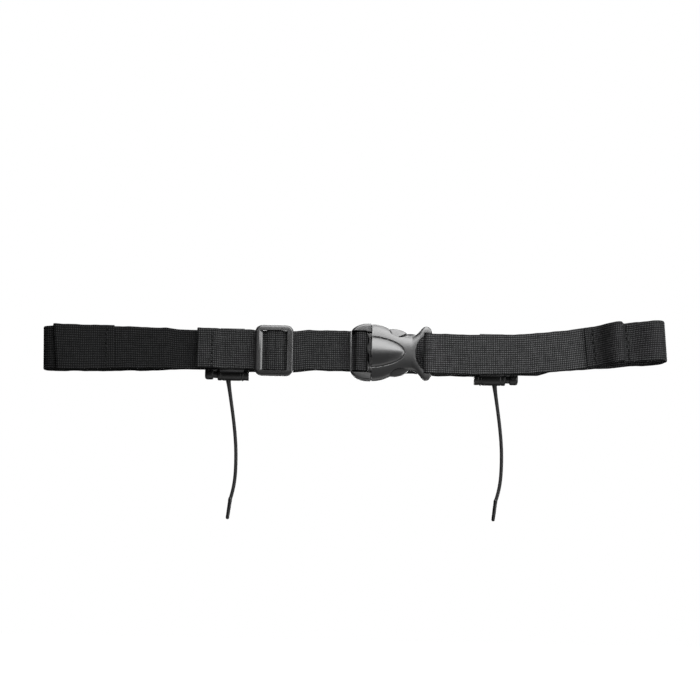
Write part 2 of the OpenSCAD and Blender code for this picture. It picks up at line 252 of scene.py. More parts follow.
def webbing_material(name, dark, light, fine=1.0, left_painted_shade=1.0):
    """Elastic webbing: cords along the belt, crossed by picks. UVs are in millimetres.

    The last argument is how light it is left of the buckle, compared with the right: painted shade, for the
    light that falls off towards the left end.
    """
    m, nodes, links, shader = new_material(name)
    uv, u, v = web_uv(nodes, links)

    wobble = noise(nodes, links, scaled(nodes, links, uv, (0.25, 0.6, 1)), 1.0)
    rib = ripple_of(nodes, links, math_node(nodes, links, "MULTIPLY_ADD", wobble, 0.22, v), RIB)
    pick = ripple_of(nodes, links, u, PICK * fine)
    knit = math_node(nodes, links, "MULTIPLY",
                     math_node(nodes, links, "POWER", rib, 2.2), math_node(nodes, links, "POWER", pick, 1.6))

    streaks = noise(nodes, links, scaled(nodes, links, uv, (0.09, 1.5, 1)), 1.0, 4)
    bars = noise(nodes, links, scaled(nodes, links, uv, (0.9, 0.12, 1)), 1.0, 3)
    fuzz = noise(nodes, links, uv, 5.0, 2)
    uneven = math_node(nodes, links, "POWER", math_node(nodes, links, "ADD", streaks, bars), 2.0)
    level = math_node(nodes, links, "MULTIPLY", knit, uneven)
    level = math_node(nodes, links, "MULTIPLY_ADD", fuzz, 0.12, level)

    # Painted shade: the colour darkens towards the left end, where less light falls
    place = nodes.new("ShaderNodeSeparateXYZ")
    links.new(nodes.new("ShaderNodeTexCoord").outputs["Object"], place.inputs[0])
    shade_ramp = nodes.new("ShaderNodeMapRange")
    shade_ramp.inputs["From Min"].default_value = -0.05
    shade_ramp.inputs["From Max"].default_value = 0.04
    shade_ramp.inputs["To Min"].default_value = left_painted_shade
    links.new(place.outputs[0], shade_ramp.inputs["Value"])
    level = math_node(nodes, links, "MINIMUM", level, 1.0)
    level = math_node(nodes, links, "MULTIPLY", level, shade_ramp.outputs[0])
    links.new(mix_colour(nodes, links, level, dark, light), shader.inputs["Base Color"])

    shader.inputs["Roughness"].default_value = 0.72
    shader.inputs["Specular IOR Level"].default_value = 0.05
    add_bump(nodes, links, shader, math_node(nodes, links, "MULTIPLY_ADD", fuzz, 0.2, knit), 0.9, 0.28 * MM)
    return m


def plastic_material(name, colour, worn, roughness, shine, grain_depth=0.02 * MM):
    """Moulded plastic: satin skin, a fine grain and edges that are rubbed lighter."""
    m, nodes, links, shader = new_material(name)
    where = nodes.new("ShaderNodeTexCoord").outputs["Object"]
    geometry = nodes.new("ShaderNodeNewGeometry")
    edge = nodes.new("ShaderNodeMapRange")
    edge.inputs["From Min"].default_value = 0.53
    edge.inputs["From Max"].default_value = 0.64
    links.new(geometry.outputs["Pointiness"], edge.inputs["Value"])
    patches = noise(nodes, links, where, 130.0, 4)
    rub = math_node(nodes, links, "MULTIPLY", edge.outputs[0], patches)
    links.new(mix_colour(nodes, links, rub, colour, worn), shader.inputs["Base Color"])
    cloud = noise(nodes, links, where, 60.0, 3)
    links.new(math_node(nodes, links, "MULTIPLY_ADD", cloud, 0.10, roughness - 0.05),
              shader.inputs["Roughness"])
    shader.inputs["Specular IOR Level"].default_value = shine
    add_bump(nodes, links, shader, noise(nodes, links, where, 900.0, 2), 0.35, grain_depth)
    return m


def cord_material(name, colour, light):
    """Braided cord: two families of crossing strands. UVs are in millimetres and turns."""
    m, nodes, links, shader = new_material(name)
    _, u, v = web_uv(nodes, links)
    along = math_node(nodes, links, "MULTIPLY", u, 0.55)
    waves = []
    for sign in (1, -1):
        phase = math_node(nodes, links, "MULTIPLY_ADD", v, 4.0 * sign, along)
        wave = math_node(nodes, links, "SINE", math_node(nodes, links, "MULTIPLY", phase, 2 * math.pi))
        waves.append(math_node(nodes, links, "ABSOLUTE", wave))
    braid = math_node(nodes, links, "MULTIPLY", waves[0], waves[1])
    links.new(mix_colour(nodes, links, braid, colour, light), shader.inputs["Base Color"])
    shader.inputs["Roughness"].default_value = 0.6
    shader.inputs["Specular IOR Level"].default_value = 0.12
    add_bump(nodes, links, shader, braid, 0.8, 0.12 * MM)
    return m


def steel_material(name):
    """Bright spring wire, a little uneven."""
    m, nodes, links, shader = new_material(name)
    where = nodes.new("ShaderNodeTexCoord").outputs["Object"]
    cloud = noise(nodes, links, where, 400.0, 3)
    links.new(mix_colour(nodes, links, cloud, (0.42, 0.42, 0.43), (0.62, 0.62, 0.64)),
              shader.inputs["Base Color"])
    shader.inputs["Metallic"].default_value = 1.0
    links.new(math_node(nodes, links, "MULTIPLY_ADD", cloud, 0.2, 0.2), shader.inputs["Roughness"])
    return m


# The belt's webbing, with painted shade darkening it left of the buckle
BELT_WEB = webbing_material("webbing_belt", (0.0008, 0.0008, 0.0009), (0.066, 0.0664, 0.0677),
                            left_painted_shade=0.25)
# The adjuster strap's webbing: a copy of the belt's, darker all over as painted shade for the light that
# falls off towards the left
TAIL_WEB_SHADED = webbing_material("webbing_tail_shaded", (0.0008, 0.0008, 0.0009), (0.043, 0.0433, 0.044))
GEL_WEB = webbing_material("webbing_gel", (0.0006, 0.0006, 0.0007), (0.042, 0.0423, 0.0432), 0.9)
BUCKLE = plastic_material("buckle_plastic", (0.009, 0.009, 0.0092), (0.03, 0.03, 0.031), 0.34, 0.8)
ADJUSTER = plastic_material("adjuster_plastic", (0.007, 0.007, 0.0072), (0.03, 0.03, 0.031), 0.28, 0.6,
                            grain_depth=0.008 * MM)
TOGGLE = plastic_material("toggle_plastic", (0.005, 0.005, 0.0051), (0.025, 0.025, 0.026), 0.42, 0.3)
THREAD = cord_material("thread", (0.001, 0.001, 0.0011), (0.006, 0.006, 0.0062))
CORD = cord_material("cord_braid", (0.002, 0.002, 0.0021), (0.02, 0.02, 0.0205))
TIP = plastic_material("cord_tip_plastic", (0.003, 0.003, 0.0031), (0.012, 0.012, 0.0125), 0.35, 0.3)
STEEL = steel_material("spring_steel")

# ---------- mesh building ----------


def mesh_object(name, vertices, faces, material, smooth=True):
    """An object in the scene, from points in millimetres."""
    mesh = bpy.data.meshes.new(name)
    mesh.from_pydata([tuple(v) for v in np.asarray(vertices, float) * MM], [], faces)
    mesh.validate()
    if smooth:
        mesh.polygons.foreach_set("use_smooth", [True] * len(mesh.polygons))
    mesh.materials.append(material)
    return linked(name, mesh)


def linked(name, data):
    """A new object with this data, in the scene."""
    o = bpy.data.objects.new(name, data)
    bpy.context.scene.collection.objects.link(o)
    return o


def set_uv(o, uvs):
    """Give the object the "web" UVs, one for each vertex."""
    layer = o.data.uv_layers.new(name="web")
    loops = np.zeros(len(o.data.loops), np.int32)
    o.data.loops.foreach_get("vertex_index", loops)
    layer.data.foreach_set("uv", np.asarray(uvs)[loops].astype(np.float32).ravel())


def web_section():
    """Half thickness at even places across the webbing; the ribs are real relief."""
    count = int(round(WEB_W / RIB)) * 4
    v = np.linspace(-WEB_W / 2, WEB_W / 2, count + 1)
    half = WEB_T / 2 - 0.13 * (1 - np.abs(np.sin(v / RIB * math.pi)))
    edge = np.clip((WEB_W / 2 - np.abs(v)) / 0.5, 0, 1)
    return v, half * np.sqrt(1 - (1 - edge) ** 2 * 0.75)


def webbing(name, points, material, step, seed, scale_w=np.ones_like, lift=rise, lean=tilt):
    """A strip of webbing on a path seen from above, as one closed mesh with UVs in millimetres.

    scale_w(x) widens it, lift(x, y) raises it, lean(x) slants its cross threads, and seed shifts the
    small waves that stop it looking ruled.
    """
    pts, along = even(points, step)
    normal = normals_of(pts)
    v, half = web_section()
    rings, cols = len(pts), len(v)
    scale = scale_w(pts[:, 0])
    lift_z = lift(pts[:, 0], pts[:, 1])
    # Small waves of the whole strip and of its edges, flat inside a toggle's clip
    ripple = 0.10 * np.sin(pts[:, 0] * 0.21 + seed) + 0.07 * np.sin(pts[:, 0] * 0.53 + 2 * seed)
    edge_wave = 0.12 * np.sin(pts[:, 0] * 0.37 + seed * 3) + 0.06 * np.sin(pts[:, 0] * 1.1 + seed)
    loose = 1 - 0.9 * held(pts[:, 0], pts[:, 1])
    ripple *= loose
    edge_wave *= loose
    lean_back = lean(pts[:, 0])
    pick = 0.02 * np.sin(along * math.pi)
    vertices, uvs = [], []
    for side in (1, -1):
        for i in range(rings):
            h = side * (half + pick[i])
            x = pts[i, 0] + normal[i, 0] * h - v * lean_back[i]
            y = pts[i, 1] + normal[i, 1] * h
            z = v * (scale[i] + edge_wave[i] / WEB_W) + lift_z[i] + ripple[i]
            vertices.append(np.stack([x, y, z], 1))
            uvs.append(np.stack([np.full(cols, along[i]), v + 40 * (side < 0)], 1))
    faces = []
    back = rings * cols
    for i in range(rings - 1):
        a, b = i * cols, (i + 1) * cols
        for j in range(cols - 1):
            faces.append((a + j, b + j, b + j + 1, a + j + 1))
            faces.append((back + a + j + 1, back + b + j + 1, back + b + j, back + a + j))
        faces.append((a, back + a, back + b, b))
        faces.append((b + cols - 1, back + b + cols - 1, back + a + cols - 1, a + cols - 1))
    last = (rings - 1) * cols
    for j in range(cols - 1):
        faces.append((j, j + 1, back + j + 1, back + j))
        faces.append((last + j + 1, last + j, back + last + j, back + last + j + 1))
    o = mesh_object(name, np.vstack(vertices), faces, material)
    set_uv(o, np.vstack(uvs))
    return o


def tube(name, points, radius, material, sides, step):
    """A round bar along a path in space, with round ends and UVs in millimetres and turns."""
    pts, along = even(np.asarray(points, float), step)
    r = radius(along / along[-1]) if callable(radius) else np.full(len(pts), float(radius))
    first = pts[0] - (pts[1] - pts[0]) / np.linalg.norm(pts[1] - pts[0]) * r[0]
    last = pts[-1] + (pts[-1] - pts[-2]) / np.linalg.norm(pts[-1] - pts[-2]) * r[-1]
    d = np.gradient(pts, axis=0)
    d /= np.linalg.norm(d, axis=1)[:, None]
    ref = np.array([0.0, 1.0, 0.0]) if abs(d[0, 1]) < 0.9 else np.array([1.0, 0.0, 0.0])
    vertices, uvs, rings = [], [], []
    stations = [(pts[i], d[i], r[i], along[i]) for i in range(len(pts))]
    caps = [0.35, 0.7, 0.92]  # where the rings of the round ends are
    start = [(pts[0] + (first - pts[0]) * c, d[0], r[0] * math.sqrt(1 - c * c), 0.0) for c in caps[::-1]]
    end = [(pts[-1] + (last - pts[-1]) * c, d[-1], r[-1] * math.sqrt(1 - c * c), along[-1]) for c in caps]
    stations = start + stations + end
    for p, t, radius_here, s in stations:
        a = ref - t * (ref @ t)
        a /= np.linalg.norm(a)
        b = np.cross(t, a)
        ref = a
        ring = []
        for k in range(sides):
            w = 2 * math.pi * k / sides
            ring.append(len(vertices))
            vertices.append(p + radius_here * (math.cos(w) * a + math.sin(w) * b))
            uvs.append((s, k / sides))
        rings.append(ring)
    faces = []
    for i in range(len(rings) - 1):
        for k in range(sides):
            n = (k + 1) % sides
            faces.append((rings[i][k], rings[i][n], rings[i + 1][n], rings[i + 1][k]))
    faces.append(tuple(reversed(rings[0])))
    faces.append(tuple(rings[-1]))
    o = mesh_object(name, vertices, faces, material)
    set_uv(o, uvs)
    return o


def lathe(name, profile, centre, material, axis="x", sides=56):
    """A turned solid from (distance along the axis, radius) points, in millimetres."""
    vertices, faces = [], []
    for s, r in profile:
        for k in range(sides):
            w = 2 * math.pi * k / sides
            across = (r * math.cos(w), r * math.sin(w))
            vertices.append(np.array((s, *across) if axis == "x" else (*across, s)) + centre)
    for i in range(len(profile) - 1):
        for k in range(sides):
            n = (k + 1) % sides
            faces.append((i * sides + k, i * sides + n, (i + 1) * sides + n, (i + 1) * sides + k))
    faces.append(tuple(range(sides))[::-1])
    last = (len(profile) - 1) * sides
    faces.append(tuple(range(last, last + sides)))
    o = mesh_object(name, vertices, faces, material)
    add_bevel(o, 0.18, 2)
    return o


def add_bevel(o, width, segments, angle=30):
    """Round every edge that is sharper than the angle."""
    m = o.modifiers.new("bevel", "BEVEL")
    m.width = width * MM
    m.segments = segments
    m.limit_method = "ANGLE"
    m.angle_limit = math.radians(angle)


def soft_box(name, low, high, bevel, material):
    """A moulded block with round edges."""
    (x0, y0, z0), (x1, y1, z1) = low, high
    vertices = [(x, y, z) for x in (x0, x1) for y in (y0, y1) for z in (z0, z1)]
    faces = [(0, 1, 3, 2), (4, 6, 7, 5), (0, 4, 5, 1), (2, 3, 7, 6), (0, 2, 6, 4), (1, 5, 7, 3)]
    o = mesh_object(name, vertices, faces, material)
    add_bevel(o, bevel, 3)
    return o


def rounded(x0, x1, z0, z1, r, n=8):
    """A rectangle with round corners, as (x, z) points."""
    corners = ((x1 - r, z1 - r), (x0 + r, z1 - r), (x0 + r, z0 + r), (x1 - r, z0 + r))
    return [tuple(p) for i, centre in enumerate(corners) for p in arc(centre, r, 90 * i, 90 * i + 90, n)]


def flipped(outline, side):
    """The outline as it is for the upper side (1), or turned over the middle for the lower side (-1)."""
    return [(x, side * z) for x, z in (outline if side > 0 else outline[::-1])]


def plate(name, outline, y0, y1, bevel, material, segments):
    """A moulded plate seen from the front, with bevelled edges: the outline is in (x, z)."""
    curve = bpy.data.curves.new(name, "CURVE")
    curve.dimensions = "2D"
    curve.fill_mode = "BOTH"
    curve.bevel_depth = bevel * MM
    curve.bevel_resolution = segments
    curve.extrude = ((y1 - y0) / 2 - bevel) * MM
    curve.offset = -bevel * MM
    spline = curve.splines.new("POLY")
    spline.points.add(len(outline) - 1)
    for p, q in zip(spline.points, outline):
        p.co = (q[0] * MM, q[1] * MM, 0, 1)
    spline.use_cyclic_u = True
    o = linked(name, curve)
    bpy.context.view_layer.update()
    mesh = bpy.data.meshes.new_from_object(o.evaluated_get(bpy.context.evaluated_depsgraph_get()))
    bpy.data.objects.remove(o)
    mesh.transform(Matrix.Translation((0, (y0 + y1) / 2 * MM, 0)) @ Matrix.Rotation(math.pi / 2, 4, "X"))
    mesh.materials.clear()
    mesh.materials.append(material)
    o = linked(name, mesh)
    weld(o)
    return o


def weld(o):
    """Merge doubled points, turn the faces outward and keep only real corners sharp."""
    b = bmesh.new()
    b.from_mesh(o.data)
    bmesh.ops.remove_doubles(b, verts=b.verts, dist=0.000004)
    bmesh.ops.recalc_face_normals(b, faces=b.faces)
    b.to_mesh(o.data)
    b.free()
    smooth_by_angle(o, 40)


def smooth_by_angle(o, degrees):
    """Shade smooth, but keep edges that are sharper than this."""
    o.data.polygons.foreach_set("use_smooth", [True] * len(o.data.polygons))
    o.data.set_sharp_from_angle(angle=math.radians(degrees))


def apply_modifiers(o):
    """Make the modifiers' result the object's own mesh."""
    graph = bpy.context.evaluated_depsgraph_get()
    mesh = bpy.data.meshes.new_from_object(o.evaluated_get(graph))
    old = o.data
    o.modifiers.clear()
    o.data = mesh
    bpy.data.meshes.remove(old)


def boolean(o, other):
    """Cut the other object out of this one, and remove it."""
    m = o.modifiers.new("cut", "BOOLEAN")
    m.operation = "DIFFERENCE"
    m.object = other
    m.solver = "EXACT"
    bpy.context.view_layer.update()
    apply_modifiers(o)
    bpy.data.objects.remove(other)


def join(name, objects):
    """One object from several, modifiers applied."""
    b = bmesh.new()
    material = objects[0].data.materials[0]
    graph = bpy.context.evaluated_depsgraph_get()
    for o in objects:
        bpy.context.view_layer.update()
        mesh = bpy.data.meshes.new_from_object(o.evaluated_get(graph))
        mesh.transform(o.matrix_world)
        b.from_mesh(mesh)
        bpy.data.meshes.remove(mesh)
    mesh = bpy.data.meshes.new(name)
    b.to_mesh(mesh)
    b.free()
    mesh.materials.append(material)
    for o in objects:
        bpy.data.objects.remove(o)
    return linked(name, mesh)


def cut(o, outline, y0, y1, bevel=0.05, segments=1):
    """Cut a plate with this outline out of the object."""
    boolean(o, plate("cut", outline, y0, y1, bevel, o.data.materials[0], segments))


def attach(o, node, body=None, blend=None):
    """Hide the CAD node that the piece stands for, and put the piece on the body that it rides on.

    blend, (body, body, start, end) in millimetres for a piece that stretches between two bodies, only bakes
    the piece's place into its mesh; its bodies and places are not used.
    """
    if body:
        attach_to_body(o, body)
    if blend:
        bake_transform(o)
    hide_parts(node)


# ---------- webbing pieces ----------


def left_flare(x):
    """The slack left end of the belt is a little wider than the taut front."""
    return np.interp(x, [-195, -150, -134, -103], [1.09, 1.07, 1.05, 1.0])


def belt_paths():
    """The belt's left half, its back run and its right half, which meet end to end behind."""
    fold_x = LEFT_X + FOLD_R + WEB_T / 2 - 0.9
    back_left = SPLIT_X[0] - 0.1
    back_right = SPLIT_X[1] + 0.1
    fold = LEAN_FROM + 32 * LEAN_DIR + FOLD_R * LEAN_OUT
    wrap = 2.45  # radius round the socket's bar
    left = path((back_left, BACK_Y),
                arc((fold_x, (BACK_Y + BASE_Y) / 2), FOLD_R, 90, 270, 24),
                (PLUG_X - 1.2, BASE_Y))
    back = path((back_left, BACK_Y), (back_right, BACK_Y))
    right = path((SEAM_RIGHT + 6.6, BASE_Y - PLY),
                 bezier((142, BASE_Y - PLY), (138, BASE_Y - PLY), (137, FRONT_Y), (132, FRONT_Y)),
                 bezier((56, FRONT_Y), (51, FRONT_Y), (51, MID_Y - wrap), (SOCKET_BAR[0], MID_Y - wrap)),
                 arc(SOCKET_BAR, wrap, 262, 90, 18),
                 (52, BASE_Y), LEAN_FROM,
                 arc(fold, FOLD_R, -90 - math.degrees(LEAN), 90 - math.degrees(LEAN), 24),
                 (140, BACK_Y), (back_right, BACK_Y))
    return left, back, right


def adjuster_paths():
    """The adjuster strap from its hem into the tri-glide, and on from there round the plug's bar."""
    hem_r = PLY / 2
    hem_l = 10.6  # length of the sewn hem
    fold_x = TAIL_X + hem_r + WEB_T / 2
    bar_in = GLIDE_X[0] + 4.7  # where it starts to climb over the tri-glide's bar
    crest = FRONT_Y - 1.6
    wrap = 2.25  # radius round the plug's bar
    split = (bar_in + 8, crest)
    tail = path((fold_x + hem_l, FRONT_Y),
                arc((fold_x, FRONT_Y - hem_r), hem_r, 90, 270, 10),
                bezier((fold_x + hem_l, FRONT_Y - PLY), (fold_x + hem_l + 2, FRONT_Y - PLY),
                       (fold_x + hem_l + 3, FRONT_Y), (fold_x + hem_l + 5, FRONT_Y)),
                bezier((bar_in, FRONT_Y), (bar_in + 3, FRONT_Y), (bar_in + 2, crest), (bar_in + 6, crest)),
                split)
    lead = path(split,
                bezier((bar_in + 10, crest), (bar_in + 14, crest), (bar_in + 13, FRONT_Y),
                       (bar_in + 16, FRONT_Y)),
                bezier((-14, FRONT_Y), (-10, FRONT_Y), (-8, -14.4), (-4, -14.4)),
                bezier((-0.8, -14.4), (1.2, -14.5), (0.3, FRONT_Y - 2.0), (2.6, FRONT_Y - 2.05)),
                arc(PLUG_BAR, wrap, 270, 450, 18),
                (PLUG_X - 1.2, BASE_Y))
    return tail, lead


def adjuster_lift(x, _):
    """How far the adjuster strap is lifted: less inside the tri-glide."""
    return np.interp(x, [-99, -86, -66, -62, -36, -28, -6, 8], [1.0, 0.8, 0.5, 0.1, 0.1, 1.0, 1.0, 0.4])


def hollow(x):
    """1 in the hollow between the right gel strip's two loops, and less away from it."""
    return np.exp(-((x - 173) / 5) ** 2)


def gel_lift(x, y):
    """How far the right gel strip is lifted: the hollow between its loops sags a little."""
    return rise(x, y) - np.where(y < BASE_Y, 0.5 * hollow(x), 0)


def gel_paths():
    """The gel strips: a flat loop on the left and two open ones round the right end."""
    loop_r = 1.3  # of the left loop's fold
    fold_x = -185.6
    left = path((SEAM_LEFT, BASE_Y - 2 * PLY),
                bezier((SEAM_LEFT - 9, BASE_Y - 2 * PLY), (-166, BASE_Y - 3.6),
                       (-176, BASE_Y - 4.4), (fold_x, BASE_Y - PLY - 2 * loop_r)),
                arc((fold_x, BASE_Y - PLY - loop_r), loop_r, 260, 90, 12),
                (SEAM_LEFT - 1, BASE_Y - PLY))
    right = path((SEAM_RIGHT, BASE_Y - 2 * PLY),
                 bezier((151, BASE_Y - 2 * PLY), (156.5, -17), (157.6, -27), (163.4, -27.4), 20),
                 bezier((164, -27.4), (168, -27.4), (165.8, -20.4), (169.2, -18), 20),
                 bezier((171.4, -18.4), (178.2, -19.6), (182.6, -24.2), (187.5, -23.6), 16),
                 bezier((188.1, -23.5), (193, -22.9), (194.3, -17), (194.1, -13.5), 16),
                 bezier((194.1, -13), (193.9, -8), (191, -5.2), (185.9, -4.6), 16),
                 (163, -1.9))
    return left, right


def build_webbing():
    """The belt, the adjuster strap and the gel strips."""
    left, back, right = belt_paths()
    o = webbing("belt_left", left, BELT_WEB, 1.2, 0.4, scale_w=left_flare)
    attach(o, "left_webbing", "left_half")
    o = webbing("belt_back", back, BELT_WEB, 1.4, 0.4, scale_w=left_flare)
    attach(o, "back_webbing",
           blend=("left_half", "right_half", (back[0][0], 0, 0), (back[-1][0], 0, 0)))
    o = webbing("belt_right", right, BELT_WEB, 1.1, 1.7)
    attach(o, "right_webbing", "right_half")

    tail, lead = adjuster_paths()
    o = webbing("adjuster_tail", tail, TAIL_WEB_SHADED, 0.7, 2.3, lift=adjuster_lift)
    attach(o, "adjuster_strap", blend=("left_half", "tri_glide", (-84, 0, 0), (GLIDE_X[0], 0, 0)))
    o = webbing("adjuster_lead", lead, TAIL_WEB_SHADED, 0.7, 2.3, lift=adjuster_lift)
    attach(o, "adjuster_strap", blend=("tri_glide", "left_half", (GLIDE_X[1], 0, 0), (-8, 0, 0)))

    gel_left, gel_right = gel_paths()
    o = webbing("gel_loop_left", gel_left, BELT_WEB, 0.7, 3.1,
                scale_w=lambda x: np.interp(x, [-188, -150], [1.15, 1.09]),
                lean=lambda x: np.interp(x, [-188, -150], [0.12, 0.03]))
    attach(o, "gel_strip_left", "left_half")
    o = webbing("gel_loops_right", gel_right, GEL_WEB, 0.6, 4.2, scale_w=lambda x: 1 - 0.04 * hollow(x),
                lift=gel_lift)
    attach(o, "gel_strip_right", "right_half")


def stitch_row(name, x, y, turn, side, node, slant=0.0, width=1.0):
    """A row of lock stitches up the face of the webbing; each dips into it at both ends."""
    count = 9
    pitch = WEB_W * width * 0.93 / count
    sign = -1 if y < -5 else 1  # the side of the belt that the stitches stand out on
    parts = []
    for i in range(count):
        z = (i - (count - 1) / 2) * pitch
        half = pitch * 0.24
        t = np.linspace(-1, 1, 9)
        out = 0.3 * (1 - t ** 4) - 0.14
        xs = x + slant * (z + t * half) + 0.25 * (-1) ** i
        points = np.stack([xs + sign * out * -math.sin(turn), y + sign * out * math.cos(turn),
                           z + t * half + float(rise(x))], 1)
        parts.append(tube(name + str(i), points, 0.38, THREAD, sides=8, step=0.25))
    o = join(name, parts)
    smooth_by_angle(o, 60)
    attach(o, node, side + "_half")


def build_stitching():
    """The rows of stitches that hold the gel strips and the adjuster strap's hem."""
    face = BASE_Y - 2 * PLY - WEB_T / 2
    stitch_row("stitches_left", SEAM_LEFT - 5, face, 0, "left", "stitching_left", width=1.1)
    stitch_row("stitches_tail", TAIL_X + 10, FRONT_Y - PLY - WEB_T / 2, 0, "left", "stitching_tail")
    rows = {"a": (SEAM_RIGHT + 5, face, 0), "b": (170.4, -18.85, LEAN), "c": (166, -1.62, 0.12)}
    for row, (x, y, turn) in rows.items():
        stitch_row("stitches_right_" + row, x, y, turn, "right", "stitching_right", -0.1)


# ---------- buckle ----------


def loft(name, stations, material, sides):
    """A body from rounded sections along X: (x, half height, half thickness, how square)."""
    vertices, faces = [], []
    angles = np.linspace(0, 2 * math.pi, sides, endpoint=False)
    c, s = np.cos(angles), np.sin(angles)
    for x, h, t, power in stations:
        cz = np.sign(c) * np.abs(c) ** (2 / power)
        sy = np.sign(s) * np.abs(s) ** (2 / power)
        for k in range(sides):
            vertices.append((x, MID_Y + t * sy[k], h * cz[k]))
    for i in range(len(stations) - 1):
        for k in range(sides):
            n = (k + 1) % sides
            faces.append((i * sides + k, (i + 1) * sides + k, (i + 1) * sides + n, i * sides + n))
    faces.append(tuple(range(sides)))
    last = (len(stations) - 1) * sides
    faces.append(tuple(range(last, last + sides))[::-1])
    return mesh_object(name, vertices, faces, material)


# The socket along X: its half height, its half thickness and how square its section is
SOCKET_H = ([10.9, 14, 18, 22, 25, 29, 33, 36, 38, 40, 42, 43.6, 45, 46.4, 47.5, 48.1, 48.4],
            [17.9, 17.7, 16.8, 15.1, 13.7, 12.1, 11.1, 11.0, 11.6, 13.2, 15.6, 16.8, 17.0, 16.5, 15.4, 14.2,
             13.2])
SOCKET_T = ([10.9, 22, 32, 38, 44, 47.6, 48.4], [4.5, 4.45, 4.1, 3.6, 3.2, 2.6, 1.4])
SOCKET_POWER = ([30, 36, 41, 44], [2.7, 2.6, 5.0, 7.0])
PANEL_END = 31.3  # the tip of the raised panel on its face
PANEL_Z = 9.4  # and the panel's half height at the seam with the plug


def smooth_interp(x, xs, ys):
    """A soft curve through points: a cubic with the slopes of the neighbours."""
    xs, ys = np.asarray(xs, float), np.asarray(ys, float)
    slope = np.gradient(ys, xs)
    i = np.clip(np.searchsorted(xs, x) - 1, 0, len(xs) - 2)
    h = xs[i + 1] - xs[i]
    t = (x - xs[i]) / h
    return ((2 * t ** 3 - 3 * t ** 2 + 1) * ys[i] + (t ** 3 - 2 * t ** 2 + t) * h * slope[i]
            + (-2 * t ** 3 + 3 * t ** 2) * ys[i + 1] + (t ** 3 - t ** 2) * h * slope[i + 1])


def panel_edge(x):
    """Half height of the raised tongue-shaped panel on the socket's face, at x."""
    u = np.clip((x - SOCKET_X[0]) / (PANEL_END - SOCKET_X[0]), 0, 1)
    return PANEL_Z * (1 - u ** 1.6) ** 0.5


def raise_panel(o):
    """Dome the panel out of the socket's face, with a groove round it."""
    co = np.zeros(len(o.data.vertices) * 3)
    o.data.vertices.foreach_get("co", co)
    co = co.reshape(-1, 3) / MM
    edge = panel_edge(co[:, 0])
    front = co[:, 1] < MID_Y - 1.0
    inside = front & (np.abs(co[:, 2]) < edge) & (edge > 0.2)
    ratio = np.abs(co[:, 2]) / np.maximum(edge, 0.2)
    dome = np.cos(np.clip(ratio, 0, 1) * math.pi / 2) ** 0.85
    fade = np.clip(edge / PANEL_Z * 1.25, 0, 1)
    co[:, 1] -= np.where(inside, (0.25 + 2.5 * dome * fade) * np.clip((1 - ratio) * 10, 0, 1), 0)
    gap = np.abs(np.abs(co[:, 2]) - edge)
    co[:, 1] += np.where(front & (co[:, 0] < PANEL_END + 0.6), 0.4 * np.exp(-(gap / 0.28) ** 2), 0)
    o.data.vertices.foreach_set("co", (co * MM).ravel())


def build_socket():
    """The socket: a lofted shell, hollow, with a window for each prong and a bar for the webbing."""
    stations = [(x, smooth_interp(x, *SOCKET_H), np.interp(x, *SOCKET_T), np.interp(x, *SOCKET_POWER))
                for x in np.r_[np.linspace(SOCKET_X[0], 33, 120), np.linspace(33.3, SOCKET_X[1], 56)]]
    o = loft("buckle_body", stations, BUCKLE, 400)
    raise_panel(o)

    cavity = [(SOCKET_X[0] - 1, 14.9), (21, 12.4), (30, 9.2), (36, 6.4)]
    cavity += [(x, -z) for x, z in cavity[::-1]]
    cut(o, cavity, MID_Y - 2.85, MID_Y + 2.85, 0.3, 2)
    for side, centre_x, reach_x in ((-1, 29.2, 7.4), (1, 28.3, 7.2)):
        turns = np.linspace(0, 2 * math.pi, 56, endpoint=False)
        window = [(centre_x + reach_x * math.cos(w), side * (15.9 + 6.3 * math.sin(w))) for w in turns]
        cut(o, window, MID_Y - 12, MID_Y + 12, 0.2)
    half = bezier((43.15, 10.6), (40.6, 9.0), (37.9, 5.5), (37.9, 0), 16)
    slot = [(43.15, 12.9)] + [tuple(p) for p in half] + [(p[0], -p[1]) for p in half[::-1]][1:]
    slot += [(43.15, -12.9), (60, -12.9), (60, 12.9)]
    cut(o, slot, MID_Y - 12, MID_Y + 12, 0.2)
    bar = tube("bar", [(SOCKET_BAR[0], MID_Y, -13.6), (SOCKET_BAR[0], MID_Y, 13.6)], 1.7, BUCKLE, 24, 3)
    o = join("buckle_socket_shell", [o, bar])
    smooth_by_angle(o, 32)
    add_bevel(o, 0.22, 2, 50)
    attach(o, "buckle_socket", "right_half")


